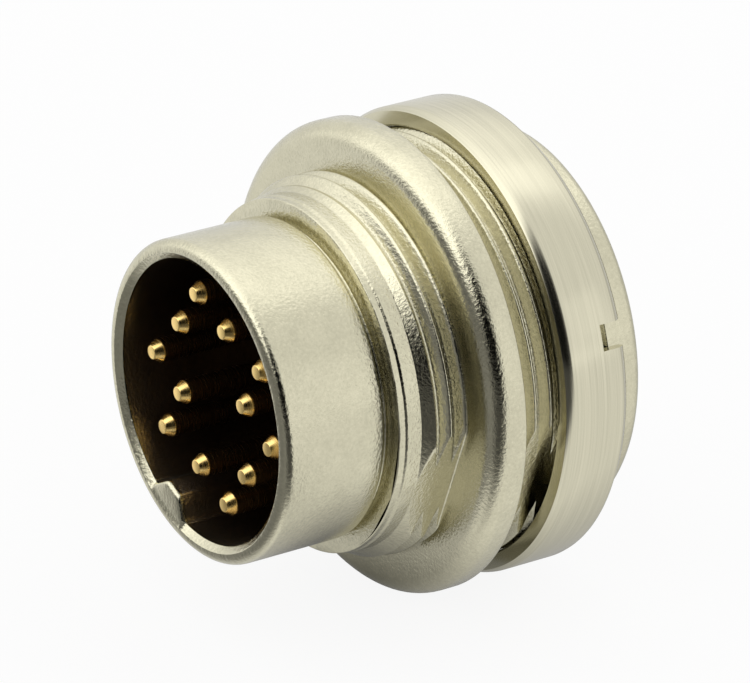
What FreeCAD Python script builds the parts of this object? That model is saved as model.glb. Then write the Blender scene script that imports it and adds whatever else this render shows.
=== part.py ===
import FreeCAD, Part
import math
import os

# Round aviation plug connector for panel mounting, male side.
# The connector axis lies along Y: the mating face looks towards -Y and the
# solder side towards +Y. The origin is on the axis, in the front face of the
# flange, where the coupling thread ends. Z is up. All sizes are millimetres.
# Positions along Y end in _Y. Every radius follows from the coupling thread.

os.makedirs("parts", exist_ok=True)

VEC = FreeCAD.Vector
ORIGIN = VEC(0, 0, 0)
AXIS_Y = VEC(0, 1, 0)
HALF = 0.5
FULL_TURN = 360.0
QUARTER_TURN = 90.0
HALF_TURN = 180.0

# Coupling thread, M16 with a fine pitch, behind a narrow neck and a lead chamfer
COUPLING_MAJOR_R = 8.0
COUPLING_LENGTH = 2.85
LEAD_DROP = 0.65
LEAD_LENGTH = 0.42
NECK_LENGTH = 0.25
NECK_REAR_Y = -COUPLING_LENGTH
NECK_FRONT_Y = NECK_REAR_Y - NECK_LENGTH

# Nosing: the smooth sleeve in front of the thread, and its bore
NOSE_STEP = 1.25
NOSE_LENGTH = 4.69
NOSE_WALL = 0.80
NECK_STEP = 0.30
NOSE_R = COUPLING_MAJOR_R - NOSE_STEP
NECK_R = NOSE_R - NECK_STEP
BORE_R = NOSE_R - NOSE_WALL
RIM_Y = NECK_FRONT_Y - NOSE_LENGTH
RIM_ROUND_SHARE = 0.50
BORE_LEAD_SHARE = 0.40
RIM_ROUND = NOSE_WALL * RIM_ROUND_SHARE
BORE_LEAD = NOSE_WALL * BORE_LEAD_SHARE
NOSE_TAIL_ROUND = 0.28

# Panel thread, M18 with the same fine pitch, behind the flange
PANEL_STEP = 1.0
PANEL_THREAD_LENGTH = 5.20
PANEL_THREAD_BREAK = 0.40
PANEL_MAJOR_R = COUPLING_MAJOR_R + PANEL_STEP

# Flange between the two threads
FLANGE_STEP = 0.95
FLANGE_THICK = 1.55
FLANGE_ROUND = 0.85
FLANGE_R = PANEL_MAJOR_R + FLANGE_STEP
PANEL_THREAD_END_Y = FLANGE_THICK + PANEL_THREAD_LENGTH

# One flat along both threads, turned with the shell's own azimuth
FLAT_CUT = 0.55
FLAT_AZIMUTH = -22.5
FRONT_FLAT_DISTANCE = COUPLING_MAJOR_R - FLAT_CUT
REAR_FLAT_DISTANCE = PANEL_MAJOR_R - FLAT_CUT

# Smooth spigot behind the panel thread
SPIGOT_STEP = 0.60
SPIGOT_LENGTH = 1.55
SPIGOT_ROUND = 0.40
SPIGOT_R = PANEL_MAJOR_R - SPIGOT_STEP
SPIGOT_END_Y = PANEL_THREAD_END_Y + SPIGOT_LENGTH

# Seat for the pin carrier inside the shell, and the clip's groove behind it
SHOULDER_WIDTH = 1.10
SHOULDER_BEHIND_FLANGE = 0.40
SEAT_LENGTH = 2.85
CLIP_GROOVE_DEPTH = 0.40
CLIP_GROOVE_W = 0.80
SEAT_BORE_R = BORE_R + SHOULDER_WIDTH
SHOULDER_Y = FLANGE_THICK + SHOULDER_BEHIND_FLANGE
CLIP_GROOVE_R = SEAT_BORE_R + CLIP_GROOVE_DEPTH
CLIP_GROOVE_Y = SHOULDER_Y + SEAT_LENGTH

# Key rib on the bore wall
KEY_AZIMUTH = -113.5
KEY_HEIGHT = 1.00
KEY_FOOT_HALF = 1.42
KEY_TOP_HALF = 0.50
KEY_ROUND = 0.30
KEY_SETBACK = 0.05
KEY_SINK = 0.15
KEY_TOP_R = BORE_R - KEY_HEIGHT

# Ring nut: its rear face is level with the end of the panel thread
NUT_WALL = 0.86
NUT_LENGTH = 3.11
NUT_FRONT_BREAK = 0.15
NUT_FRONT_BREAK_LENGTH = 0.34
NUT_REAR_BREAK = 0.40
NUT_BORE_GAP = 0.05
NUT_SLOT_WIDTH = 1.08
NUT_SLOT_LENGTH = 1.20
NUT_SLOT_AZIMUTH = 18.0
NUT_SLOT_COUNT = 2
NUT_R = PANEL_MAJOR_R + NUT_WALL

# Pin carrier: its collar lies between the shell's shoulder and the clip
FIT_GAP = 0.03
PIN_HOLE_GAP = 0.02
INSERT_NOSE_LENGTH = 2.30
INSERT_FACE_Y = SHOULDER_Y - INSERT_NOSE_LENGTH
INSERT_REAR_Y = CLIP_GROOVE_Y

# Retaining clip: a sprung ring with a gap
CLIP_PLAY = 0.05
CLIP_BAND = 1.10
CLIP_GAP_WIDTH = 3.0
CLIP_GAP_AZIMUTH = 65.0
CLIP_OUTER_R = CLIP_GROOVE_R - CLIP_PLAY
CLIP_INNER_R = CLIP_OUTER_R - CLIP_BAND
CLIP_THICK = CLIP_GROOVE_W - CLIP_PLAY

# Contacts: one straight rod each, tapered in front and drilled as a solder cup behind
PIN_R = 0.50
PIN_TIP_SHARE = 0.66
PIN_TIP_LENGTH = 0.48
PIN_TIP_SETBACK = 0.62
CUP_SETBACK = 0.30
CUP_WALL_SHARE = 0.24
CUP_BORE_SHARE = 0.80
CUP_SCOOP_SHARE = 0.50
PIN_TIP_R = PIN_R * PIN_TIP_SHARE
PIN_TIP_Y = RIM_Y + PIN_TIP_SETBACK
CUP_BORE_R = PIN_R * (1 - CUP_WALL_SHARE)
CUP_END_Y = SPIGOT_END_Y - CUP_SETBACK
CUP_LENGTH = CUP_END_Y - INSERT_REAR_Y

# Contact pattern: three rings, as shares of the bore, mirrored about one line
PATTERN_AZIMUTH = 104.0
OUTER_RING_R = BORE_R * 0.736
OUTER_SIDE_ANGLE = 69.0
MIDDLE_RING_R = BORE_R * 0.585
MIDDLE_SIDE_ANGLE = 31.0
INNER_RING_R = BORE_R * 0.4135

# Straight steps in each turned round
FLANGE_ROUND_STEPS = 4
RIM_ROUND_STEPS = 2
SMALL_ROUND_STEPS = 1


def turned(points):
    """Solid of revolution about Y from a closed list of (radius, y) corners."""
    corners = [VEC(radius, along, 0) for radius, along in points]
    wire = Part.makePolygon(corners + [corners[0]])
    return Part.Face(wire).revolve(ORIGIN, AXIS_Y, FULL_TURN)


def rod(radius, start, end):
    """Plain cylinder on the axis between two positions along Y."""
    return Part.makeCylinder(radius, end - start, VEC(0, start, 0), AXIS_Y)


def turn_about_axis(shape, azimuth):
    """Turn a shape about Y so that its +X side faces the azimuth (X towards Z)."""
    shape.rotate(ORIGIN, AXIS_Y, -azimuth)
    return shape


def polar(radius, azimuth):
    """X and Z of a point at a radius and azimuth about the axis."""
    angle = math.radians(azimuth)
    return radius * math.cos(angle), radius * math.sin(angle)


def quarter_round(centre_r, centre_y, size, start, steps):
    """Profile points on a quarter circle, from the start angle (radius towards Y)."""
    points = []
    for step in range(steps + 1):
        along_r, along_y = polar(size, start + QUARTER_TURN * step / steps)
        points.append((centre_r + along_r, centre_y + along_y))
    return points


def front_round(radius, along, size, steps):
    """Outer corner that faces the mating side, rounded."""
    return quarter_round(radius - size, along + size, size, -QUARTER_TURN, steps)


def rear_round(radius, along, size, steps):
    """Outer corner that faces the solder side, rounded."""
    return quarter_round(radius - size, along - size, size, 0, steps)


def side_cutter(distance, start, end):
    """Block that lies wholly beyond a flat at a distance from the axis."""
    reach = FLANGE_R * 2
    corner = VEC(distance, start, -reach)
    block = Part.makeBox(reach, end - start, reach * 2, corner)
    return turn_about_axis(block, FLAT_AZIMUTH)


def outer_body():
    """Outside of the shell, turned in one piece and then flattened."""
    profile = [(0, RIM_Y)]
    profile += front_round(NOSE_R, RIM_Y, RIM_ROUND, RIM_ROUND_STEPS)
    profile += rear_round(NOSE_R, NECK_FRONT_Y, NOSE_TAIL_ROUND, SMALL_ROUND_STEPS)
    profile += [
        (NECK_R, NECK_FRONT_Y),
        (NECK_R, NECK_REAR_Y),
        (COUPLING_MAJOR_R - LEAD_DROP, NECK_REAR_Y),
        (COUPLING_MAJOR_R, NECK_REAR_Y + LEAD_LENGTH),
        (COUPLING_MAJOR_R, 0),
    ]
    profile += front_round(FLANGE_R, 0, FLANGE_ROUND, FLANGE_ROUND_STEPS)
    profile += [
        (FLANGE_R, FLANGE_THICK),
        (PANEL_MAJOR_R, FLANGE_THICK),
        (PANEL_MAJOR_R, PANEL_THREAD_END_Y - PANEL_THREAD_BREAK),
        (SPIGOT_R, PANEL_THREAD_END_Y),
    ]
    profile += rear_round(SPIGOT_R, SPIGOT_END_Y, SPIGOT_ROUND, SMALL_ROUND_STEPS)
    profile.append((0, SPIGOT_END_Y))
    body = turned(profile)
    body = body.cut(side_cutter(FRONT_FLAT_DISTANCE, NECK_REAR_Y, 0))
    return body.cut(side_cutter(REAR_FLAT_DISTANCE, FLANGE_THICK, PANEL_THREAD_END_Y))


def key_rib():
    """Rib on the bore wall that polarises the mate, with rounded top corners."""
    foot = BORE_R + KEY_SINK
    front = RIM_Y + KEY_SETBACK
    length = INSERT_FACE_Y - FIT_GAP - front
    corners = [
        VEC(foot, front, -KEY_FOOT_HALF),
        VEC(foot, front, KEY_FOOT_HALF),
        VEC(KEY_TOP_R, front, KEY_TOP_HALF),
        VEC(KEY_TOP_R, front, -KEY_TOP_HALF),
    ]
    wire = Part.makePolygon(corners + [corners[0]])
    rib = Part.Face(wire).extrude(VEC(0, length, 0))
    top_edges = []
    for edge in rib.Edges:
        along_axis = edge.BoundBox.YLength > length * HALF
        if along_axis and edge.BoundBox.Center.x < KEY_TOP_R + KEY_SINK * HALF:
            top_edges.append(edge)
    rib = rib.makeFillet(KEY_ROUND, top_edges)
    return turn_about_axis(rib, KEY_AZIMUTH)


def bore_tool():
    """Everything that is hollow in the shell, as one turned tool."""
    beyond = 1.0
    groove_end = CLIP_GROOVE_Y + CLIP_GROOVE_W
    return turned([
        (0, RIM_Y - beyond),
        (BORE_R + BORE_LEAD + beyond, RIM_Y - beyond),
        (BORE_R, RIM_Y + BORE_LEAD),
        (BORE_R, SHOULDER_Y),
        (SEAT_BORE_R, SHOULDER_Y),
        (SEAT_BORE_R, CLIP_GROOVE_Y),
        (CLIP_GROOVE_R, CLIP_GROOVE_Y),
        (CLIP_GROOVE_R, groove_end),
        (SEAT_BORE_R, groove_end),
        (SEAT_BORE_R, SPIGOT_END_Y + beyond),
        (0, SPIGOT_END_Y + beyond),
    ])


def make_shell():
    """Die-cast shell: nosing, coupling thread, flange, panel thread, spigot."""
    hollow = outer_body().cut(bore_tool())
    return hollow.fuse(key_rib()).removeSplitter()


def make_ring_nut():
    """Round nut with spanner slots cut through its rear edge."""
    bore = PANEL_MAJOR_R + NUT_BORE_GAP
    rear = PANEL_THREAD_END_Y
    front = rear - NUT_LENGTH
    nut = turned([
        (bore, front),
        (NUT_R - NUT_FRONT_BREAK, front),
        (NUT_R, front + NUT_FRONT_BREAK_LENGTH),
        (NUT_R, rear - NUT_REAR_BREAK),
        (NUT_R - NUT_REAR_BREAK, rear),
        (bore, rear),
    ])
    beyond = NUT_WALL
    for index in range(NUT_SLOT_COUNT):
        corner = VEC(bore - beyond, rear - NUT_SLOT_LENGTH, -NUT_SLOT_WIDTH * HALF)
        slot = Part.makeBox(NUT_WALL + beyond * 2, NUT_SLOT_LENGTH + beyond, NUT_SLOT_WIDTH, corner)
        azimuth = NUT_SLOT_AZIMUTH + index * FULL_TURN / NUT_SLOT_COUNT
        nut = nut.cut(turn_about_axis(slot, azimuth))
    return nut


def contact_places():
    """X and Z of every contact, starting at the top and going round the rings."""
    places = []
    for end in (0, HALF_TURN):
        places.append(polar(OUTER_RING_R, PATTERN_AZIMUTH + end))
    for side in (-1, 1):
        for base, sign in ((0, 1), (HALF_TURN, -1)):
            outer = PATTERN_AZIMUTH + base + side * sign * OUTER_SIDE_ANGLE
            middle = PATTERN_AZIMUTH + base + side * sign * MIDDLE_SIDE_ANGLE
            places.append(polar(OUTER_RING_R, outer))
            places.append(polar(MIDDLE_RING_R, middle))
        places.append(polar(INNER_RING_R, PATTERN_AZIMUTH + side * QUARTER_TURN))
    return places


def make_pin_insert():
    """Moulded insulating carrier that the contacts stand in."""
    nose = BORE_R - FIT_GAP
    collar = SEAT_BORE_R - FIT_GAP
    body = turned([
        (0, INSERT_FACE_Y),
        (nose, INSERT_FACE_Y),
        (nose, SHOULDER_Y),
        (collar, SHOULDER_Y),
        (collar, INSERT_REAR_Y),
        (0, INSERT_REAR_Y),
    ])
    hole = rod(PIN_R + PIN_HOLE_GAP, INSERT_FACE_Y, INSERT_REAR_Y)
    holes = []
    for x, z in contact_places():
        holes.append(hole.translated(VEC(x, 0, z)))
    return body.cut(holes[0].multiFuse(holes[1:]))


def make_contact(x, z):
    """Turned contact: pin with a tapered tip, and a drilled cup with a scooped mouth."""
    body = turned([
        (0, PIN_TIP_Y),
        (PIN_TIP_R, PIN_TIP_Y),
        (PIN_R, PIN_TIP_Y + PIN_TIP_LENGTH),
        (PIN_R, CUP_END_Y),
        (0, CUP_END_Y),
    ])
    body = body.cut(rod(CUP_BORE_R, CUP_END_Y - CUP_LENGTH * CUP_BORE_SHARE, CUP_END_Y))
    scoop_length = CUP_LENGTH * CUP_SCOOP_SHARE
    scoop_corner = VEC(-PIN_R, CUP_END_Y - scoop_length, 0)
    body = body.cut(Part.makeBox(PIN_R * 2, scoop_length, PIN_R, scoop_corner))
    body.translate(VEC(x, 0, z))
    return body


def make_retaining_clip():
    """Sprung ring with a gap that keeps the pin carrier in the shell."""
    end = CLIP_GROOVE_Y + CLIP_THICK
    ring = rod(CLIP_OUTER_R, CLIP_GROOVE_Y, end).cut(rod(CLIP_INNER_R, CLIP_GROOVE_Y, end))
    corner = VEC(0, CLIP_GROOVE_Y, -CLIP_GAP_WIDTH * HALF)
    gap = Part.makeBox(CLIP_OUTER_R * 2, CLIP_THICK, CLIP_GAP_WIDTH, corner)
    return ring.cut(turn_about_axis(gap, CLIP_GAP_AZIMUTH))


def save(shape, name):
    """Write one piece as a STEP file under its own name."""
    solid = shape.Solids[0] if len(shape.Solids) == 1 else shape
    solid.exportStep("parts/" + name + ".step")
    print(name, "solids", len(shape.Solids), "valid", shape.isValid(), round(shape.Volume, 1))


save(make_shell(), "shell")
save(make_ring_nut(), "ring_nut")
save(make_pin_insert(), "pin_insert")
save(make_retaining_clip(), "retaining_clip")
for number, place in enumerate(contact_places(), start=1):
    save(make_contact(*place), "contact_%02d" % number)
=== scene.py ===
import math

import bmesh
import bpy
import numpy as np
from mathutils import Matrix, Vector


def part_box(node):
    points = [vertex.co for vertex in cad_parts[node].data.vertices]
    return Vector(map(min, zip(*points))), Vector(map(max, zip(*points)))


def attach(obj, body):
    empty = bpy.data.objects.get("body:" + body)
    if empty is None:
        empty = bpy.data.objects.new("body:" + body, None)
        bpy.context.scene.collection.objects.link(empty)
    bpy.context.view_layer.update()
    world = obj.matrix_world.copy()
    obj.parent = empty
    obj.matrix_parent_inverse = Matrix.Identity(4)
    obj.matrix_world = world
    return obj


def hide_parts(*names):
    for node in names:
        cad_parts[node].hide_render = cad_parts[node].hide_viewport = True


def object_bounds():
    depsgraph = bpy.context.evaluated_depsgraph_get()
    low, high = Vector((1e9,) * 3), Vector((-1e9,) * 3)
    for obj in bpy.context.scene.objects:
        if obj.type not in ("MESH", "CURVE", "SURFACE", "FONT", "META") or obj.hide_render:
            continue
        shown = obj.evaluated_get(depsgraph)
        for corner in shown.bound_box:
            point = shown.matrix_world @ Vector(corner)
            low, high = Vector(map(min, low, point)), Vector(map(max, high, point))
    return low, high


# Round aviation plug connector. Its axis lies along Y, the mating face looks
# towards -Y and Z is up. Azimuths are measured about the axis, from X towards Z.

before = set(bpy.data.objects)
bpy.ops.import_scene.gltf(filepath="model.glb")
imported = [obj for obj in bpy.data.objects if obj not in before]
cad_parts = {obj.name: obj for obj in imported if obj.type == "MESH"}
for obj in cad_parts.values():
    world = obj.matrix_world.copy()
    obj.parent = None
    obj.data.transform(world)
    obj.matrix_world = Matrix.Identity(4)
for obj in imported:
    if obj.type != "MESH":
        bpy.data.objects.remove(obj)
cad_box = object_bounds()

MM = 0.001
TURN = 2 * math.pi
CONTACT_COUNT = 12

# Distances below which points and edges merge, and the angle from which an edge is sharp
MERGE_DISTANCE = 0.0004 * MM
THIN_EDGE = 0.0002 * MM
SHARP_ANGLE = math.radians(34)

# Steps between the shell's columns in degrees, and how far the close ones reach
FINE_STEP = 0.4
MIDDLE_STEP = 1.0
EVEN_STEP = 2.0
COARSE_STEP = 2.5
KEY_FLANK_REACH = 18
KEY_TOP_REACH = 8
FLAT_EDGE_REACH = 2
FLAT_SIDE_REACH = 8
EVEN_END = 100

# Points in each turned round, and in half a turn of a contact
SMALL_STEPS = 4
EDGE_STEPS = 5
TAIL_STEPS = 8
RIM_STEPS = 9
FLANGE_STEPS = 14
HALF_TURN_COLUMNS = 19

# Places that the frame gives
SHELL_LOW, SHELL_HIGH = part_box("shell")
NUT_LOW, NUT_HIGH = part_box("ring_nut")
INSERT_LOW, INSERT_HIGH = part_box("pin_insert")
RIM_Y = SHELL_LOW.y
SPIGOT_END_Y = SHELL_HIGH.y
FLANGE_R = SHELL_HIGH.z
NUT_R = NUT_HIGH.z
NUT_FRONT_Y = NUT_LOW.y
NUT_REAR_Y = NUT_HIGH.y
INSERT_FACE_Y = INSERT_LOW.y
SEAT_REAR_Y = INSERT_HIGH.y
FLOOR_Z = cad_box[0].z

# Nosing, neck and bore
NOSE_R = 6.75 * MM
RIM_ROUND = 0.40 * MM
BORE_R = 5.95 * MM
BORE_LEAD = 0.28 * MM
BORE_LEAD_LENGTH = 0.24 * MM
BORE_LEAD_EDGE = 0.06 * MM
NECK_R = 6.45 * MM
NECK_FRONT_Y = -3.10 * MM
NECK_REAR_Y = -2.85 * MM
NOSE_TAIL_ROUND = 0.14 * MM
NOSE_TAIL_TURN = 84
NOSE_ROWS_Y = (-6.0 * MM, -4.5 * MM)
NECK_CORNER = 0.06 * MM
NECK_SHELF = 0.4 * MM

# Both threads
PITCH = 0.75 * MM
THREAD_DEPTH = 0.45 * MM
CREST_FLAT = 0.11 * MM
ROOT_FLAT = 0.10 * MM
CREST_BLEND = 0.12 * MM
ROOT_BLEND = 0.06 * MM
CREST_PHASE_Y = 0.01 * MM
REAR_CREST_PHASE_Y = 2.66 * MM
COUPLING_R = 8.0 * MM
STRIP_R = 7.40 * MM
STRIP_EDGE = 0.05 * MM
STRIP_END_Y = -2.57 * MM
LAND_R = 7.46 * MM
LAND_SLOPE = 0.6
LEAD_BLEND = 0.012 * MM
OPENING_Y = -1.83 * MM
OPENING_SLOPE = 0.82
LEAD_ROW_STEP = 0.03 * MM
FILLET = 0.06 * MM
FILLET_ROW_STEP = 0.012 * MM
FILLET_ROW_REACH = 0.06 * MM
CREST_ROWS = 6
ROOT_ROWS = 4
REAR_LEAD_SLOPE = 1.5
PANEL_R = 9.0 * MM
SPIGOT_R = 8.4 * MM
FLAT_AZIMUTH = math.radians(-22.5)
FRONT_FLAT = 7.45 * MM
REAR_FLAT = 8.45 * MM
FLAT_HALF = math.radians(20.0)
FLAT_REACH = math.radians(30.0)
SEAM = math.pi

# Limits of the flat's and the key's lines, and a radius at which they cut nothing
LEAST_FACING = 0.5
LEAST_ACROSS = 1e-3
KEY_REACH = 1.0
NO_CUT = 1.0

# Flange and spigot
FLANGE_REAR_Y = 1.55 * MM
FLANGE_ROUND = 0.85 * MM
FLANGE_BREAK = 0.07 * MM
FLANGE_ROW_Y = 1.2 * MM
FRONT_FACE_ROWS_R = (8.12 * MM, 8.6 * MM)
REAR_FACE_ROW_R = 9.4 * MM
STEP_GAP = 0.02 * MM
SPIGOT_START_Y = 6.75 * MM
SPIGOT_ROUND = 0.40 * MM
SPIGOT_ROW_Y = 7.4 * MM
SEAT_R = 7.05 * MM
SEAT_BREAK = 0.12 * MM
GROOVE_R = 7.45 * MM
GROOVE_END_Y = 5.60 * MM
SHOULDER_Y = 1.95 * MM

# Key rib in the bore
KEY_AZIMUTH = math.radians(-113.5)
KEY_TOP_R = 4.95 * MM
KEY_FOOT_HALF = 1.42 * MM
KEY_TOP_HALF = 0.50 * MM
KEY_ROUND = 0.30 * MM
KEY_SETBACK = 0.05 * MM
KEY_SINK = 0.15 * MM
KEY_BLEND = 0.34 * MM
KEY_EDGE = 0.20 * MM
KEY_ROW_Y = -5.0 * MM
KEY_END_GAP = 0.03 * MM

# Ring nut
NUT_BORE_R = 9.05 * MM
NUT_FRONT_BREAK = 0.15 * MM
NUT_FRONT_BREAK_LENGTH = 0.34 * MM
NUT_REAR_BREAK = 0.40 * MM
NUT_SLOT_HALF = 0.54 * MM
NUT_SLOT_LENGTH = 1.20 * MM
NUT_SLOT_AZIMUTHS = (math.radians(18.0), math.radians(198.0))
NUT_EDGE = 0.06 * MM
NUT_EDGE_START = 0.4
NUT_EDGE_DROP = 0.3
NUT_BORE_BREAK = 0.08 * MM
NUT_FACE_ROW_R = 9.4 * MM
NUT_ROW_GAP = 0.4 * MM
NUT_CREASE = 0.02 * MM
NUT_CREASE_DROP = 0.01 * MM
NUT_CREASE_END = 0.03 * MM
SLOT_COLUMNS = 7
RING_COLUMNS = 90

# Contacts
PIN_R = 0.50 * MM
PIN_TIP_R = 0.31 * MM
PIN_TIP_LENGTH = 0.36 * MM
PIN_TIP_ROUND = 0.05 * MM
PIN_TIP_TURN = -14
PIN_BREAK = 0.015 * MM
CUP_BORE_R = 0.38 * MM
CUP_BORE_SHARE = 0.80
CUP_SCOOP_SHARE = 0.50

# Gold of the contacts, and the painted shade that darkens the shaft behind their tips
GOLD = (1.0, 0.72, 0.27)
SHAFT_SHADE_COLOUR = (0.26, 0.165, 0.07)
SHAFT_SHADE_GAP = 0.02 * MM
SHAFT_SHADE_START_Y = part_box("contact_01")[0].y + PIN_TIP_LENGTH + SHAFT_SHADE_GAP
SHAFT_SHADE_FADE = 0.05 * MM

# Bore wall: its colour darkened as painted shade, darker still with depth into the bore, and its
# roughness
BORE_SHADED_COLOUR = (0.52, 0.45, 0.34)
BORE_DEEP_SHADE_COLOUR = (0.22, 0.16, 0.10)
BORE_SHADE_DEPTH = 3.4 * MM
BORE_ROUGHNESS = 0.26
BORE_MARGIN = 0.02 * MM
BORE_SHADE_GAP = 0.06 * MM

# Plain colours, and the two ends that noise runs between in each tone and roughness
CASTING_TONES = ((0.54, 0.515, 0.380), (0.665, 0.633, 0.470))
CASTING_ROUGHNESS = (0.08, 0.17)
TURNED_TONES = ((0.55, 0.525, 0.40), (0.66, 0.628, 0.48))
TURNED_ROUGHNESS = (0.14, 0.22)
GOLD_ROUGHNESS = (0.18, 0.30)
MOULDING = (0.055, 0.036, 0.021)
MOULDING_ROUGHNESS = (0.32, 0.46)
MOULDING_SPECULAR = 0.25
STEEL = (0.50, 0.49, 0.47)
STEEL_ROUGHNESS = (0.26, 0.42)

# Values of one noise, and of two added, at which the two ends are reached
NOISE_ENDS = (0.3, 0.7)
SUM_ENDS = (0.7, 1.3)

# Scale of each grain along X, Y and Z, in parts per millimetre
EVEN_GRAIN = (1, 1, 1)
TURNED_LINES = (0.15, 14, 0.15)
TURNED_FINE_LINES = (0.5, 45, 0.5)
GOLD_LINES = (1, 22, 1)
ROLLED_GRAIN = (1, 6, 1)

# The camera of the photograph: a long lens, level from side to side
CAMERA_AT = Vector((187.65, -123.80, 97.79)) * MM
CAMERA_LOOK = Vector((-0.764816, 0.508248, -0.395904))
CAMERA_LENS = 288.0
CLIP_START = 0.01
CLIP_END = 10.0

# Brightness of the room that metal mirrors, towards +X, +Y and +Z, then -X, -Y and -Z
ROOM_TOWARDS = (1.64, 0.67, 1.68)
ROOM_AWAY = (0.88, 2.29, 0.17)

# Patches of the room that differ from that, each by its middle and half sizes in degrees
DARK_IN_FRONT = dict(azimuth=-93, elevation=-10, half_width=49, half_height=45, brightness=0.18)
DARK_BESIDE = dict(azimuth=-58, elevation=-5, half_width=22, half_height=38, brightness=0.22)
LIGHT_WALL = dict(azimuth=20, elevation=40, half_width=50, half_height=43, brightness=0.98)
DARK_BEHIND_CAMERA = dict(azimuth=-28, elevation=11, half_width=33, half_height=55, brightness=0.00)
ROOM_PATCHES = (DARK_IN_FRONT, DARK_BESIDE, LIGHT_WALL, DARK_BEHIND_CAMERA)

# Distances from a patch's middle, as shares of its half sizes, where it is full and where it ends
PATCH_FULL = 0.65
PATCH_END = 1.15

# Brightness of the room for all else, and the pale floor
ROOM_PLAIN = 0.90
FLOOR_COLOUR = 0.95
FLOOR_GLOW = 0.90
FLOOR_HALF = 1.5

# Softboxes, each in its direction from the connector
SOFTBOX_DISTANCE = 0.40
SOFTBOXES = (
    dict(name="top_softbox", towards=(-0.04, 0.51, 0.86), size=0.12, radiance=0.15),
    dict(name="right_softbox", towards=(0.80, 0.51, 0.31), size=0.12, radiance=0.15),
    dict(name="left_softbox", towards=(-0.58, 0.51, 0.63), size=0.16, radiance=0.1),
    dict(name="far_left_softbox", towards=(-0.82, 0.51, 0.26), size=0.20, radiance=0.05),
    dict(name="front_left_softbox", towards=(-0.62, -0.55, 0.56), size=0.25, radiance=0.05),
)


def arc(centre_r, centre_y, size, start, end, steps):
    """Profile points on a circle of one size about a centre, at even angles
    from start to end in degrees, measured from the radius towards +Y."""
    angle = np.radians(np.linspace(start, end, steps))
    return list(zip(centre_r + size * np.cos(angle), centre_y + size * np.sin(angle)))


def mesh_piece(name, points, body, material, replaced):
    """Grid of points (rows, columns, 3) joined by quads, with the doubled
    points of its seam, poles and collapsed rows merged into one."""
    rows, columns = points.shape[:2]
    index = np.arange(rows * columns).reshape(rows, columns)
    quads = np.stack([index[:-1, :-1], index[1:, :-1], index[1:, 1:], index[:-1, 1:]], axis=-1)
    mesh = bpy.data.meshes.new(name)
    mesh.from_pydata(points.reshape(-1, 3), [], quads.reshape(-1, 4))
    work = bmesh.new()
    work.from_mesh(mesh)
    bmesh.ops.remove_doubles(work, verts=work.verts, dist=MERGE_DISTANCE)
    bmesh.ops.dissolve_degenerate(work, edges=work.edges, dist=THIN_EDGE)
    work.to_mesh(mesh)
    work.free()
    mesh.shade_smooth()
    mesh.set_sharp_from_angle(angle=SHARP_ANGLE)
    mesh.materials.append(material)
    piece = bpy.data.objects.new(name, mesh)
    bpy.context.scene.collection.objects.link(piece)
    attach(piece, body)
    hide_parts(replaced)
    return piece


def about_axis(radius, along, azimuth, centre=(0.0, 0.0)):
    """Points at a radius and an azimuth about a line along Y: the radius times
    cosine and sine of the azimuth gives X and Z, and along gives Y."""
    radius, along, azimuth = np.broadcast_arrays(radius, along, azimuth)
    x = centre[0] + radius * np.cos(azimuth)
    z = centre[1] + radius * np.sin(azimuth)
    return np.stack([x, along, z], axis=-1)


def columns_between(stops):
    """Azimuths from a list of (end in degrees, step in degrees), starting at
    minus the seam: each stretch is divided evenly by about its own step."""
    values = [np.array([-math.degrees(SEAM)])]
    for end, step in stops:
        start = values[-1][-1]
        count = max(1, round((end - start) / step))
        values.append(np.linspace(start, end, count + 1)[1:])
    return np.radians(np.concatenate(values))


def smooth_low(first, second, blend):
    """Lower of two heights, with the corner where they meet rounded: where they
    differ by less than the blend, what is left of it is taken as a share, and the
    share's square times a quarter of the blend is taken off."""
    share = np.maximum(blend - np.abs(first - second), 0) / blend
    return np.minimum(first, second) - share ** 2 * blend / 4


def thread_rows(low, high, phase):
    """Places along the helix, for azimuth 0, of every tooth between two
    positions: close together on its crest and its root, wide on its flanks."""
    crest_end = CREST_FLAT / 2 + CREST_BLEND / 2
    root_start = (PITCH - ROOT_FLAT) / 2 - ROOT_BLEND
    half = np.concatenate([
        np.linspace(0, crest_end, CREST_ROWS)[1:],
        np.linspace(root_start, PITCH / 2, ROOT_ROWS)[:-1],
    ])
    tooth = np.concatenate([-half[::-1], half])
    first = math.floor((low - phase) / PITCH) - 1
    last = math.ceil((high - phase) / PITCH) + 1
    centres = phase + PITCH * np.arange(first, last + 1)
    return (centres[:, None] + tooth[None, :]).ravel()


def tooth_height(place, phase):
    """Height of the thread above its root: straight flanks between a flat crest
    and a flat root, with rounded corners, repeated each pitch of the helix."""
    away = np.abs((place - phase + PITCH / 2) % PITCH - PITCH / 2)
    half_crest = CREST_FLAT / 2
    half_root = (PITCH - ROOT_FLAT) / 2
    flank = THREAD_DEPTH * (half_root - away) / (half_root - half_crest)
    top = smooth_low(flank, THREAD_DEPTH, CREST_BLEND)
    return -smooth_low(-top, 0.0, ROOT_BLEND)


def around_flat(azimuth, half):
    """Azimuths with one column of the grid on each edge of the flat: those
    within the nominal half angle stretch to the true one, and those beyond it
    take up the rest."""
    turn = azimuth - FLAT_AZIMUTH
    side = np.abs(turn)
    inner = side * half / FLAT_HALF
    outer = half + (side - FLAT_HALF) * (FLAT_REACH - half) / (FLAT_REACH - FLAT_HALF)
    moved = np.where(side <= FLAT_HALF, inner, outer)
    return np.where(side < FLAT_REACH, FLAT_AZIMUTH + np.sign(turn) * moved, azimuth)


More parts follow.
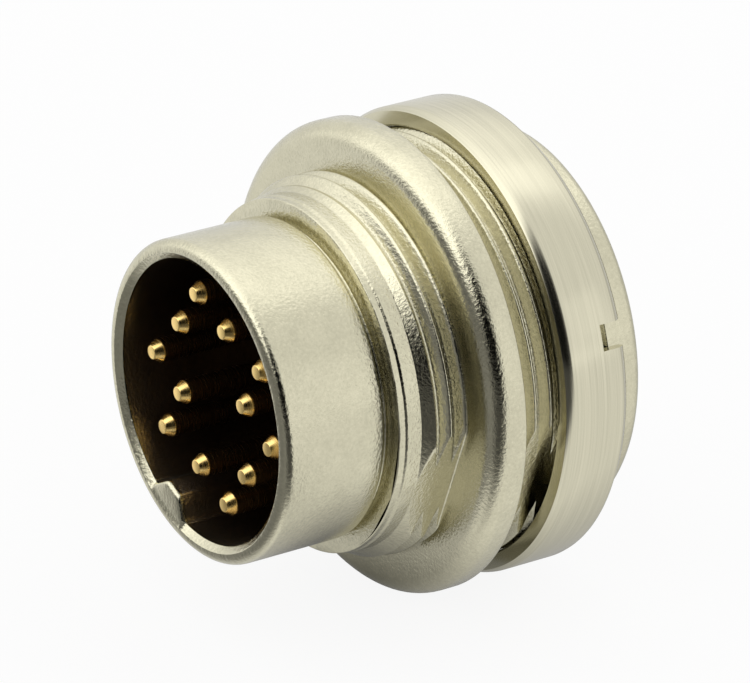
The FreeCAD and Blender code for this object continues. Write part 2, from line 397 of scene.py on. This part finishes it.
def helical_band(azimuth, low, high, major, phase, limit, flat, more, fillet):
    """Rows of a threaded stretch that follow the helix: each row falls by one
    pitch a turn, is held between the ends of the stretch, and is cut by the
    flat, whose distance over the cosine of the azimuth gives the radius. A
    quarter circle leads the flat into the face behind it. Further rows are
    given where the form between the teeth needs them."""
    rows = thread_rows(low - PITCH, high + PITCH, phase)
    rows = np.unique(np.concatenate([rows] + more))[:, None]
    root = major - THREAD_DEPTH
    at_flat = np.clip(rows - PITCH * FLAT_AZIMUTH / TURN, low, high)
    row_r = np.minimum(root + tooth_height(rows, phase), limit(at_flat))
    half = np.arccos(np.minimum(flat / row_r, 1.0))
    turned = around_flat(azimuth[None, :], half)
    drop = PITCH * turned / TURN
    along = np.clip(rows - drop, low, high)
    radius = np.minimum(root + tooth_height(along + drop, phase), limit(along))
    facing = np.cos(turned - FLAT_AZIMUTH)
    into = np.clip(along - high + fillet, 0, fillet)
    rise = fillet - np.sqrt(fillet ** 2 - into ** 2)
    cut = np.where(facing > LEAST_FACING, (flat + rise) / np.maximum(facing, LEAST_FACING), NO_CUT)
    return np.minimum(radius, cut), along, turned


def front_lead(along):
    """Widest radius of the coupling thread's start: a strip with a rounded front
    edge, a small step up to a plain land, and behind it a chamfer, in which the
    thread rises to its full height."""
    into = np.clip((along - NECK_REAR_Y) / STRIP_EDGE, 0, 1)
    strip = STRIP_R - STRIP_EDGE * (1 - np.sqrt(1 - (1 - into) ** 2))
    step = STRIP_R + LAND_SLOPE * (along - STRIP_END_Y)
    land = smooth_low(-smooth_low(-step, -strip, LEAD_BLEND), LAND_R, LEAD_BLEND)
    return np.minimum(COUPLING_R, land + OPENING_SLOPE * np.maximum(along - OPENING_Y, 0))


def rear_lead(along):
    """Widest radius of the panel thread: full, then a chamfer at its rear end."""
    end = SPIGOT_R + REAR_LEAD_SLOPE * (SPIGOT_START_Y - along)
    return np.minimum(PANEL_R, end)


def key_radius(azimuth):
    """Bore radius at each azimuth, with the key rib: its flat top, its straight
    flanks and the rounds between them, each as a line's or circle's distance."""
    turn = azimuth - KEY_AZIMUTH
    side = np.abs(turn)
    top = KEY_TOP_R / np.cos(np.minimum(side, KEY_REACH))
    foot = np.array([BORE_R + KEY_SINK, KEY_FOOT_HALF])
    corner = np.array([KEY_TOP_R, KEY_TOP_HALF])
    run = (foot - corner) / np.linalg.norm(foot - corner)
    normal = np.array([-run[1], run[0]])
    reach = normal @ corner
    across = normal[0] * np.cos(side) + normal[1] * np.sin(side)
    flank = np.where(across < -LEAST_ACROSS, reach / np.minimum(across, -LEAST_ACROSS), NO_CUT)
    sharp = np.maximum(top, flank)
    inset = KEY_TOP_R + KEY_ROUND
    slide = (reach - KEY_ROUND - normal[0] * inset) / normal[1]
    centre_turn = math.atan2(slide, inset)
    centre_r = math.hypot(slide, inset)
    off = side - centre_turn
    under = KEY_ROUND ** 2 - (centre_r * np.sin(off)) ** 2
    rounded = centre_r * np.cos(off) - np.sqrt(np.maximum(under, 0))
    first = math.atan2(slide, KEY_TOP_R)
    touch = np.array([inset, slide]) + KEY_ROUND * normal
    last = math.atan2(touch[1], touch[0])
    radius = np.where((side > first) & (side < last), rounded, sharp)
    return smooth_low(radius, BORE_R, KEY_BLEND)


def profile_rows(points, azimuth):
    """Rows of a plain turned stretch: each (radius, along) point all round."""
    even = np.ones((len(points), len(azimuth)))
    radius, along = np.array(points).T[:, :, None] * even
    return radius, along, azimuth[None, :] * even


def bore_rows(azimuth):
    """Rows of the bore, from the insert to the rim. The key's share of each column
    rises smoothly from 0 on the bore to 1 on the key, and blends the bore's
    chamfer at the rim into the key's rounded front edge."""
    even = np.ones(len(azimuth))
    bore = key_radius(azimuth)
    share = np.clip((BORE_R - bore) / KEY_EDGE, 0, 1)
    share = share * share * (3 - 2 * share)
    front = RIM_Y + KEY_SETBACK
    lead = RIM_Y + BORE_LEAD_LENGTH
    key_end = INSERT_FACE_Y - KEY_END_GAP
    rows = [(BORE_R * even, key_end * even), (bore, key_end * even), (bore, KEY_ROW_Y * even)]
    for angle in np.radians(np.linspace(0, 90, EDGE_STEPS)):
        edge_r = bore + share * KEY_EDGE * (1 - math.cos(angle))
        edge_y = front + KEY_EDGE * (1 - math.sin(angle))
        rows.append((edge_r, lead + share * (edge_y - lead)))
    size = BORE_LEAD_EDGE
    slant = math.degrees(math.atan2(BORE_LEAD, BORE_LEAD_LENGTH))
    inner = math.tan(math.radians(slant / 2)) * size
    outer = math.tan(math.radians((90 - slant) / 2)) * size
    chamfer = arc(BORE_R + size, lead + inner, size, 180, 180 + slant, SMALL_STEPS)
    chamfer += arc(BORE_R + BORE_LEAD + outer, RIM_Y + size, size, 180 + slant, 270, SMALL_STEPS)
    for radius, along in chamfer:
        rows.append((radius * even, along + share * (min(along, front) - along)))
    rows.append(((NOSE_R - RIM_ROUND) * even, RIM_Y * even))
    radius, along = np.array(rows).transpose(1, 0, 2)
    return radius, along, azimuth[None, :] * np.ones((len(rows), 1))


def make_shell(material):
    """The die-cast shell as one closed surface: the outline of its section is
    carried round the axis, with its radius changed by azimuth for the threads,
    the flats and the key."""
    key = math.degrees(KEY_AZIMUTH)
    flat = math.degrees(FLAT_AZIMUTH)
    half = math.degrees(FLAT_HALF)
    azimuth = columns_between([
        (key - KEY_FLANK_REACH, COARSE_STEP), (key - KEY_TOP_REACH, FINE_STEP),
        (key + KEY_TOP_REACH, MIDDLE_STEP), (key + KEY_FLANK_REACH, FINE_STEP),
        (flat - half - FLAT_SIDE_REACH, COARSE_STEP), (flat - half - FLAT_EDGE_REACH, MIDDLE_STEP),
        (flat - half, FINE_STEP), (flat + half, EVEN_STEP), (flat + half + FLAT_EDGE_REACH, FINE_STEP),
        (flat + half + FLAT_SIDE_REACH, MIDDLE_STEP), (EVEN_END, EVEN_STEP),
        (math.degrees(SEAM), COARSE_STEP),
    ])
    neck_r = NECK_R + NECK_CORNER
    tail_y = NECK_FRONT_Y - NOSE_TAIL_ROUND
    front = [(NOSE_R - RIM_ROUND, RIM_Y)]
    front += arc(NOSE_R - RIM_ROUND, RIM_Y + RIM_ROUND, RIM_ROUND, -90, 0, RIM_STEPS)[1:]
    front += [(NOSE_R, along) for along in NOSE_ROWS_Y]
    front += arc(NOSE_R - NOSE_TAIL_ROUND, tail_y, NOSE_TAIL_ROUND, 0, NOSE_TAIL_TURN, TAIL_STEPS)
    front += [(neck_r, NECK_FRONT_Y)]
    front += arc(neck_r, NECK_FRONT_Y + NECK_CORNER, NECK_CORNER, 270, 180, SMALL_STEPS)[1:]
    front += arc(neck_r, NECK_REAR_Y - NECK_CORNER, NECK_CORNER, 180, 90, SMALL_STEPS)
    front += [(NECK_R + NECK_SHELF, NECK_REAR_Y), (STRIP_R - STRIP_EDGE, NECK_REAR_Y)]
    flange = [(radius, 0.0) for radius in FRONT_FACE_ROWS_R]
    flange += arc(FLANGE_R - FLANGE_ROUND, FLANGE_ROUND, FLANGE_ROUND, -90, 0, FLANGE_STEPS)
    flange += [(FLANGE_R, FLANGE_ROW_Y)]
    break_y = FLANGE_REAR_Y - FLANGE_BREAK
    flange += arc(FLANGE_R - FLANGE_BREAK, break_y, FLANGE_BREAK, 0, 90, SMALL_STEPS)
    flange += [(REAR_FACE_ROW_R, FLANGE_REAR_Y), (PANEL_R + STEP_GAP, FLANGE_REAR_Y)]
    rear = [(SPIGOT_R, SPIGOT_START_Y + STEP_GAP), (SPIGOT_R, SPIGOT_ROW_Y)]
    spigot_round_y = SPIGOT_END_Y - SPIGOT_ROUND
    rear += arc(SPIGOT_R - SPIGOT_ROUND, spigot_round_y, SPIGOT_ROUND, 0, 90, RIM_STEPS)
    rear += [
        (SEAT_R + SEAT_BREAK, SPIGOT_END_Y), (SEAT_R, SPIGOT_END_Y - SEAT_BREAK),
        (SEAT_R, GROOVE_END_Y), (GROOVE_R, GROOVE_END_Y), (GROOVE_R, SEAT_REAR_Y),
        (SEAT_R, SEAT_REAR_Y), (SEAT_R, SHOULDER_Y), (BORE_R, SHOULDER_Y),
        (BORE_R, INSERT_FACE_Y),
    ]
    lead_rows = np.arange(NECK_REAR_Y - PITCH / 2, OPENING_Y + PITCH / 2, LEAD_ROW_STEP)
    flat_place = PITCH * FLAT_AZIMUTH / TURN
    fillet_start = flat_place - FILLET - FILLET_ROW_REACH
    fillet_rows = np.arange(fillet_start, flat_place + FILLET_ROW_REACH, FILLET_ROW_STEP)
    blocks = [
        profile_rows(front, azimuth),
        helical_band(
            azimuth, NECK_REAR_Y, 0.0, COUPLING_R, CREST_PHASE_Y,
            front_lead, FRONT_FLAT, [lead_rows, fillet_rows], FILLET,
        ),
        profile_rows(flange, azimuth),
        helical_band(
            azimuth, FLANGE_REAR_Y, SPIGOT_START_Y, PANEL_R, REAR_CREST_PHASE_Y,
            rear_lead, REAR_FLAT, [], 0.0,
        ),
        profile_rows(rear, azimuth),
        bore_rows(azimuth),
    ]
    radius, along, turned = (np.concatenate([block[i] for block in blocks]) for i in range(3))
    points = about_axis(radius, along, turned)
    return mesh_piece("shell_casting", points, "connector_body", material, "shell")


def make_ring_nut(material):
    """The ring nut as one closed surface: its section carried round the axis.
    Within a slot, all that lies behind the slot's front wall is drawn into the
    corner where that wall meets the bore, so that the walls close as fans. The
    columns at a slot's walls turn by the arcsine of its half width over the
    radius, which keeps the walls parallel."""
    slot_front = NUT_REAR_Y - NUT_SLOT_LENGTH
    front_r = NUT_R - NUT_FRONT_BREAK
    front_end_y = NUT_FRONT_Y + NUT_FRONT_BREAK_LENGTH
    rear_r = NUT_R - NUT_REAR_BREAK
    rear_start_y = NUT_REAR_Y - NUT_REAR_BREAK
    start = NUT_EDGE * NUT_EDGE_START
    drop = NUT_EDGE * NUT_EDGE_DROP
    before = [
        (NUT_BORE_R, NUT_FRONT_Y + NUT_BORE_BREAK), (NUT_BORE_R + NUT_BORE_BREAK, NUT_FRONT_Y),
        (NUT_FACE_ROW_R, NUT_FRONT_Y), (front_r - NUT_CREASE, NUT_FRONT_Y),
        (front_r, NUT_FRONT_Y + NUT_CREASE), (NUT_R - NUT_CREASE_DROP, front_end_y - NUT_CREASE),
        (NUT_R, front_end_y + NUT_CREASE_END), (NUT_R, slot_front - NUT_ROW_GAP), (NUT_R, slot_front),
    ]
    behind = [
        (NUT_R, rear_start_y - NUT_EDGE), (NUT_R - drop, rear_start_y + start),
        (rear_r + start, NUT_REAR_Y - drop), (rear_r - NUT_EDGE, NUT_REAR_Y),
        (NUT_BORE_R + NUT_BORE_BREAK, NUT_REAR_Y), (NUT_BORE_R, NUT_REAR_Y - NUT_BORE_BREAK),
    ]
    outline = before + behind + [(NUT_BORE_R, slot_front), before[0]]
    reach = np.zeros(len(outline))
    reach[len(before):-1] = 1
    nominal = math.asin(NUT_SLOT_HALF / NUT_R)
    ends = np.zeros(SLOT_COLUMNS + RING_COLUMNS)
    ends[[0, -1]] = -1
    ends[[SLOT_COLUMNS - 1, SLOT_COLUMNS]] = 1
    azimuth, slotted, side = [], [], []
    for centre, following in zip(NUT_SLOT_AZIMUTHS, (NUT_SLOT_AZIMUTHS[1], NUT_SLOT_AZIMUTHS[0] + TURN)):
        inside = np.linspace(centre - nominal, centre + nominal, SLOT_COLUMNS)
        outside = np.linspace(centre + nominal, following - nominal, RING_COLUMNS)
        azimuth += [inside, outside]
        slotted += [np.ones(SLOT_COLUMNS), np.zeros(RING_COLUMNS)]
        side.append(ends)
    azimuth, slotted, side = (np.concatenate(v) for v in (azimuth, slotted, side))
    azimuth = np.append(azimuth, azimuth[0] + TURN)
    slotted = np.append(slotted, slotted[0])
    side = np.append(side, side[0])
    radius, along = np.array(outline).T[:, :, None]
    drawn = (slotted[None, :] * reach[:, None]) > 0
    radius = np.where(drawn, NUT_BORE_R, radius)
    along = np.where(drawn, slot_front, along)
    shift = np.arcsin(np.clip(NUT_SLOT_HALF / radius, 0, 1)) - nominal
    points = about_axis(radius, along, azimuth[None, :] + side[None, :] * shift)
    return mesh_piece("ring_nut_turned", points, "nut", material, "ring_nut")


def make_contact(node, material):
    """One contact as a surface turned about its own axis: a tapered pin, and a
    hollow cup whose upper half stops short to leave the scooped mouth."""
    low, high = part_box(node)
    centre_x = (low.x + high.x) / 2
    centre_z = low.z + PIN_R
    cup = high.y - INSERT_HIGH.y
    scoop_y = high.y - cup * CUP_SCOOP_SHARE
    bore_y = high.y - cup * CUP_BORE_SHARE
    tip_y = low.y
    profile = [(0.0, tip_y)]
    round_y = tip_y + PIN_TIP_ROUND
    profile += arc(PIN_TIP_R - PIN_TIP_ROUND, round_y, PIN_TIP_ROUND, -90, PIN_TIP_TURN, EDGE_STEPS)
    profile += [
        (PIN_R - PIN_BREAK / 2, tip_y + PIN_TIP_LENGTH - PIN_BREAK),
        (PIN_R, tip_y + PIN_TIP_LENGTH + PIN_BREAK),
        (PIN_R, scoop_y), (PIN_R, high.y), (CUP_BORE_R, high.y), (CUP_BORE_R, scoop_y),
        (CUP_BORE_R, bore_y), (0.0, bore_y),
    ]
    lower = np.linspace(-math.pi, 0, HALF_TURN_COLUMNS)
    upper = np.linspace(0, math.pi, HALF_TURN_COLUMNS)
    azimuth = np.concatenate([lower, upper, [math.pi]])
    scooped = np.concatenate([np.zeros(HALF_TURN_COLUMNS), np.ones(HALF_TURN_COLUMNS), [0.0]])
    radius, along = np.array(profile).T[:, :, None]
    along = np.where(scooped[None, :] > 0, np.minimum(along, scoop_y), along)
    points = about_axis(radius, along, azimuth[None, :], (centre_x, centre_z))
    return mesh_piece(node + "_turned", points, "connector_body", material, node)


def principled(name, metallic):
    """Material with one Principled shader, its node tree and that shader."""
    material = bpy.data.materials.new(name)
    material.use_nodes = True
    tree = material.node_tree
    shader = tree.nodes["Principled BSDF"]
    shader.inputs["Metallic"].default_value = metallic
    return material, tree, shader


def object_space(tree, scale):
    """Object coordinates times a scale on each axis, in parts per millimetre."""
    source = tree.nodes.new("ShaderNodeTexCoord")
    mapping = tree.nodes.new("ShaderNodeMapping")
    mapping.inputs["Scale"].default_value = [s / MM for s in scale]
    tree.links.new(source.outputs["Object"], mapping.inputs["Vector"])
    return mapping.outputs["Vector"]


def noise(tree, vector, scale=1.0, detail=2, roughness=0.6):
    """Noise texture read in the given space, with its scale, the number of finer
    layers on it and how strongly they show."""
    node = tree.nodes.new("ShaderNodeTexNoise")
    node.inputs["Scale"].default_value = scale
    node.inputs["Detail"].default_value = detail
    node.inputs["Roughness"].default_value = roughness
    tree.links.new(vector, node.inputs["Vector"])
    return node.outputs["Fac"]


def ramp(tree, value, low, high, start, end, kind="LINEAR"):
    """Maps a value between low and high onto start to end, clamped."""
    node = tree.nodes.new("ShaderNodeMapRange")
    node.interpolation_type = kind
    for key, number in (("From Min", low), ("From Max", high), ("To Min", start), ("To Max", end)):
        node.inputs[key].default_value = number
    tree.links.new(value, node.inputs["Value"])
    return node.outputs["Result"]


def mix_colour(tree, factor, first, second):
    """Mix of two colours, each a socket or a constant, by a factor."""
    node = tree.nodes.new("ShaderNodeMix")
    node.data_type = "RGBA"
    tree.links.new(factor, node.inputs["Factor"])
    for key, colour in (("A", first), ("B", second)):
        socket = [i for i in node.inputs if i.name == key and i.type == "RGBA"][0]
        if isinstance(colour, tuple):
            socket.default_value = (*colour, 1)
        else:
            tree.links.new(colour, socket)
    return [o for o in node.outputs if o.type == "RGBA"][0]


def bump(tree, shader, height, strength, distance, under=None):
    """Bump on the shader's normal, its depth given in millimetres."""
    node = tree.nodes.new("ShaderNodeBump")
    node.inputs["Strength"].default_value = strength
    node.inputs["Distance"].default_value = distance * MM
    tree.links.new(height, node.inputs["Height"])
    if under is not None:
        tree.links.new(under, node.inputs["Normal"])
    tree.links.new(node.outputs["Normal"], shader.inputs["Normal"])
    return node.outputs["Normal"]


def vector_math(tree, operation, *values):
    """Operation on one or two vectors, each a socket or a constant."""
    node = tree.nodes.new("ShaderNodeVectorMath")
    node.operation = operation
    for socket, value in zip(node.inputs, values):
        if isinstance(value, tuple):
            socket.default_value = value
        else:
            tree.links.new(value, socket)
    return node.outputs["Value" if operation in ("DOT_PRODUCT", "LENGTH") else "Vector"]


def number_math(tree, operation, *values):
    """Operation on one, two or three numbers, each a socket or a constant."""
    node = tree.nodes.new("ShaderNodeMath")
    node.operation = operation
    for socket, value in zip(node.inputs, values):
        if isinstance(value, (int, float)):
            socket.default_value = value
        else:
            tree.links.new(value, socket)
    return node.outputs["Value"]


def mix_number(tree, factor, first, second):
    """Mix of two numbers by a factor: the first times what the factor leaves of
    one, plus the second times the factor."""
    rest = number_math(tree, "SUBTRACT", 1.0, factor)
    return number_math(
        tree, "ADD",
        number_math(tree, "MULTIPLY", rest, first), number_math(tree, "MULTIPLY", factor, second),
    )


def parts_of(tree, vector):
    """The X, the Y and the Z of a vector."""
    node = tree.nodes.new("ShaderNodeSeparateXYZ")
    tree.links.new(vector, node.inputs[0])
    return node.outputs


def within_bore(tree):
    """Mask for the bore wall's painted shade and roughness: 1 on the bore wall and
    the key's flanks and 0 from the rim outwards, and with it the depth into the
    bore as a share, from 0 at the rim to 1."""
    place = tree.nodes.new("ShaderNodeTexCoord").outputs["Object"]
    across = vector_math(tree, "MULTIPLY", place, (1.0, 0.0, 1.0))
    radius = vector_math(tree, "LENGTH", across)
    inner = number_math(tree, "LESS_THAN", radius, BORE_R + BORE_MARGIN)
    along = parts_of(tree, place)["Y"]
    wall_start = RIM_Y + BORE_LEAD_LENGTH + BORE_SHADE_GAP
    behind = number_math(tree, "GREATER_THAN", along, wall_start)
    depth = ramp(tree, along, RIM_Y, RIM_Y + BORE_SHADE_DEPTH, 0, 1)
    return number_math(tree, "MULTIPLY", inner, behind), depth


def nickel_casting():
    """Satin nickel over a die casting: a fine grain, blotches of tone that it
    breaks up, and a roughness that varies with it."""
    material, tree, shader = principled("nickel_casting", metallic=1.0)
    space = object_space(tree, EVEN_GRAIN)
    blotch = noise(tree, space, scale=0.9, detail=6, roughness=0.75)
    grain = noise(tree, space, scale=7.5, detail=3)
    both = number_math(tree, "ADD", blotch, grain)
    tone = mix_colour(tree, ramp(tree, both, *SUM_ENDS, 0, 1), *CASTING_TONES)
    finish = ramp(tree, grain, *NOISE_ENDS, *CASTING_ROUGHNESS)
    inside, depth = within_bore(tree)
    # Painted shade: the bore wall takes a darker colour, darker still with depth into the bore
    wall = mix_colour(tree, inside, tone, mix_colour(tree, depth, BORE_SHADED_COLOUR, BORE_DEEP_SHADE_COLOUR))
    tree.links.new(wall, shader.inputs["Base Color"])
    tree.links.new(mix_number(tree, inside, finish, BORE_ROUGHNESS), shader.inputs["Roughness"])
    bump(tree, shader, grain, strength=1.0, distance=0.024)
    return material


def nickel_turned():
    """Nickel over a turned surface: fine lines round the axis, which lie at
    even distances along Y, and a long sheen across them."""
    material, tree, shader = principled("nickel_turned", metallic=1.0)
    lines = noise(tree, object_space(tree, TURNED_LINES), detail=4)
    fine = noise(tree, object_space(tree, TURNED_FINE_LINES))
    tone = mix_colour(tree, ramp(tree, lines, *NOISE_ENDS, 0, 1), *TURNED_TONES)
    tree.links.new(tone, shader.inputs["Base Color"])
    tree.links.new(ramp(tree, lines, *NOISE_ENDS, *TURNED_ROUGHNESS), shader.inputs["Roughness"])
    first = bump(tree, shader, lines, strength=0.45, distance=0.007)
    bump(tree, shader, fine, strength=0.25, distance=0.002, under=first)
    return material


def gold_contact():
    """Polished gold plate with a faint trace of turning, and painted shade that
    darkens the shaft between the tip's cone and the carrier."""
    material, tree, shader = principled("gold_contact", metallic=1.0)
    along = parts_of(tree, tree.nodes.new("ShaderNodeTexCoord").outputs["Object"])["Y"]
    # Painted shade: a dark colour on the shaft from behind the tip's cone to the insert face
    behind = ramp(tree, along, SHAFT_SHADE_START_Y, SHAFT_SHADE_START_Y + SHAFT_SHADE_FADE, 0, 1)
    before = ramp(tree, along, INSERT_FACE_Y, INSERT_FACE_Y + SHAFT_SHADE_FADE, 1, 0)
    shaft = number_math(tree, "MULTIPLY", behind, before)
    tree.links.new(mix_colour(tree, shaft, GOLD, SHAFT_SHADE_COLOUR), shader.inputs["Base Color"])
    lines = noise(tree, object_space(tree, GOLD_LINES), roughness=0.55)
    tree.links.new(ramp(tree, lines, *NOISE_ENDS, *GOLD_ROUGHNESS), shader.inputs["Roughness"])
    bump(tree, shader, lines, strength=0.2, distance=0.003)
    return material


def black_moulding():
    """Black moulded plastic with a faint moulded texture."""
    material, tree, shader = principled("black_moulding", metallic=0.0)
    shader.inputs["Base Color"].default_value = (*MOULDING, 1)
    shader.inputs["Specular IOR Level"].default_value = MOULDING_SPECULAR
    grain = noise(tree, object_space(tree, EVEN_GRAIN), scale=6.0, detail=3, roughness=0.55)
    tree.links.new(ramp(tree, grain, *NOISE_ENDS, *MOULDING_ROUGHNESS), shader.inputs["Roughness"])
    bump(tree, shader, grain, strength=0.3, distance=0.002)
    return material


def spring_steel():
    """Bright spring steel with a rolled grain."""
    material, tree, shader = principled("spring_steel", metallic=1.0)
    shader.inputs["Base Color"].default_value = (*STEEL, 1)
    grain = noise(tree, object_space(tree, ROLLED_GRAIN), scale=3.0, detail=3, roughness=0.55)
    tree.links.new(ramp(tree, grain, *NOISE_ENDS, *STEEL_ROUGHNESS), shader.inputs["Roughness"])
    bump(tree, shader, grain, strength=0.25, distance=0.004)
    return material


def room_light(tree, direction):
    """Brightness of the room in a direction: the squares of the direction blend
    six brightnesses, and each patch then blends in its own. A patch's weight falls
    with the distance from its middle, made of the turn and the tilt away from it
    as shares of its half sizes. The turn counts less towards the poles, by the
    square root of the tilt's cosine."""
    unit = vector_math(tree, "NORMALIZE", direction)
    sides = []
    for operation, brightness in (("MAXIMUM", ROOM_TOWARDS), ("MINIMUM", ROOM_AWAY)):
        side = vector_math(tree, operation, unit, (0.0, 0.0, 0.0))
        square = vector_math(tree, "MULTIPLY", side, side)
        sides.append(vector_math(tree, "DOT_PRODUCT", square, brightness))
    room = number_math(tree, "ADD", sides[0], sides[1])
    parts = parts_of(tree, unit)
    tilt = number_math(tree, "ARCSINE", parts["Z"])
    turn = number_math(tree, "ARCTAN2", parts["Y"], parts["X"])
    narrowing = number_math(tree, "SQRT", number_math(tree, "COSINE", tilt))
    for patch in ROOM_PATCHES:
        beside = number_math(tree, "SUBTRACT", turn, math.radians(patch["azimuth"]))
        beside = number_math(tree, "WRAP", beside, math.pi, -math.pi)
        across = number_math(tree, "MULTIPLY", beside, narrowing)
        across = number_math(tree, "DIVIDE", across, math.radians(patch["half_width"]))
        above = number_math(tree, "SUBTRACT", tilt, math.radians(patch["elevation"]))
        above = number_math(tree, "DIVIDE", above, math.radians(patch["half_height"]))
        squares = number_math(
            tree, "ADD",
            number_math(tree, "MULTIPLY", across, across), number_math(tree, "MULTIPLY", above, above),
        )
        distance = number_math(tree, "SQRT", squares)
        weight = ramp(tree, distance, PATCH_FULL, PATCH_END, 1, 0, "SMOOTHSTEP")
        room = mix_number(tree, weight, room, patch["brightness"])
    return room


def make_world():
    """White backdrop where the camera sees it. Metal mirrors the room in its
    place, and everything else is lit evenly."""
    world = bpy.data.worlds.new("studio")
    bpy.context.scene.world = world
    world.use_nodes = True
    tree = world.node_tree
    ground = tree.nodes["Background"]
    ground.inputs["Color"].default_value = (1, 1, 1, 1)
    direction = tree.nodes.new("ShaderNodeTexCoord").outputs["Object"]
    room = room_light(tree, direction)
    rays = tree.nodes.new("ShaderNodeLightPath")
    clear = rays.outputs["Is Transmission Ray"]
    seen = number_math(tree, "MAXIMUM", rays.outputs["Is Camera Ray"], clear)
    strength = mix_number(tree, rays.outputs["Is Glossy Ray"], ROOM_PLAIN, room)
    strength = mix_number(tree, seen, strength, 1.0)
    tree.links.new(strength, ground.inputs["Strength"])


def make_floor():
    """Pale floor that the connector stands on. The camera sees it nearly white,
    metal mirrors the room's brightness in it, and both still see its shadow."""
    mesh = bpy.data.meshes.new("floor")
    signs = ((-1, -1), (1, -1), (1, 1), (-1, 1))
    corners = [(x * FLOOR_HALF, y * FLOOR_HALF, FLOOR_Z) for x, y in signs]
    mesh.from_pydata(corners, [], [(0, 1, 2, 3)])
    material = bpy.data.materials.new("pale_floor")
    material.use_nodes = True
    tree = material.node_tree
    tree.nodes.clear()
    matt = tree.nodes.new("ShaderNodeBsdfDiffuse")
    rays = tree.nodes.new("ShaderNodeLightPath")
    where = tree.nodes.new("ShaderNodeTexCoord").outputs["Object"]
    room = number_math(tree, "MINIMUM", room_light(tree, where), 1.0)
    matt.inputs["Color"].default_value = (FLOOR_COLOUR, FLOOR_COLOUR, FLOOR_COLOUR, 1)
    glow = tree.nodes.new("ShaderNodeEmission")
    tree.links.new(mix_number(tree, rays.outputs["Is Glossy Ray"], 1.0, room), glow.inputs["Strength"])
    shown = number_math(tree, "MAXIMUM", rays.outputs["Is Camera Ray"], rays.outputs["Is Glossy Ray"])
    blend = tree.nodes.new("ShaderNodeMixShader")
    tree.links.new(number_math(tree, "MULTIPLY", shown, FLOOR_GLOW), blend.inputs["Fac"])
    tree.links.new(matt.outputs["BSDF"], blend.inputs[1])
    tree.links.new(glow.outputs["Emission"], blend.inputs[2])
    out = tree.nodes.new("ShaderNodeOutputMaterial")
    tree.links.new(blend.outputs["Shader"], out.inputs["Surface"])
    mesh.materials.append(material)
    floor = bpy.data.objects.new("floor", mesh)
    bpy.context.scene.collection.objects.link(floor)


def softbox(name, towards, size, radiance):
    """Square area lamp in a direction from the connector, facing it. Its power
    is its radiance times pi times its area."""
    data = bpy.data.lights.new(name, "AREA")
    data.shape = "SQUARE"
    data.size = size
    data.energy = radiance * math.pi * size ** 2
    lamp = bpy.data.objects.new(name, data)
    direction = Vector(towards).normalized()
    lamp.location = direction * SOFTBOX_DISTANCE
    lamp.rotation_mode = "QUATERNION"
    lamp.rotation_quaternion = direction.to_track_quat("Z", "Y")
    lamp.visible_camera = False
    bpy.context.scene.collection.objects.link(lamp)
    return lamp


def make_camera():
    """The photograph's viewing angle through a long lens."""
    data = bpy.data.cameras.new("camera")
    data.lens = CAMERA_LENS
    data.clip_start = CLIP_START
    data.clip_end = CLIP_END
    camera = bpy.data.objects.new("camera", data)
    camera.location = CAMERA_AT
    camera.rotation_mode = "QUATERNION"
    camera.rotation_quaternion = CAMERA_LOOK.to_track_quat("-Z", "Y")
    bpy.context.scene.collection.objects.link(camera)
    bpy.context.scene.camera = camera


def dress_node(node, material):
    """Give a CAD node that stays its material."""
    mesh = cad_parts[node].data
    mesh.materials.clear()
    mesh.materials.append(material)


make_shell(nickel_casting())
make_ring_nut(nickel_turned())
gold = gold_contact()
for number in range(1, CONTACT_COUNT + 1):
    make_contact("contact_%02d" % number, gold)
dress_node("pin_insert", black_moulding())
dress_node("retaining_clip", spring_steel())

make_world()
make_floor()
for box in SOFTBOXES:
    softbox(**box)
make_camera()
bpy.context.scene.view_settings.view_transform = "Standard"
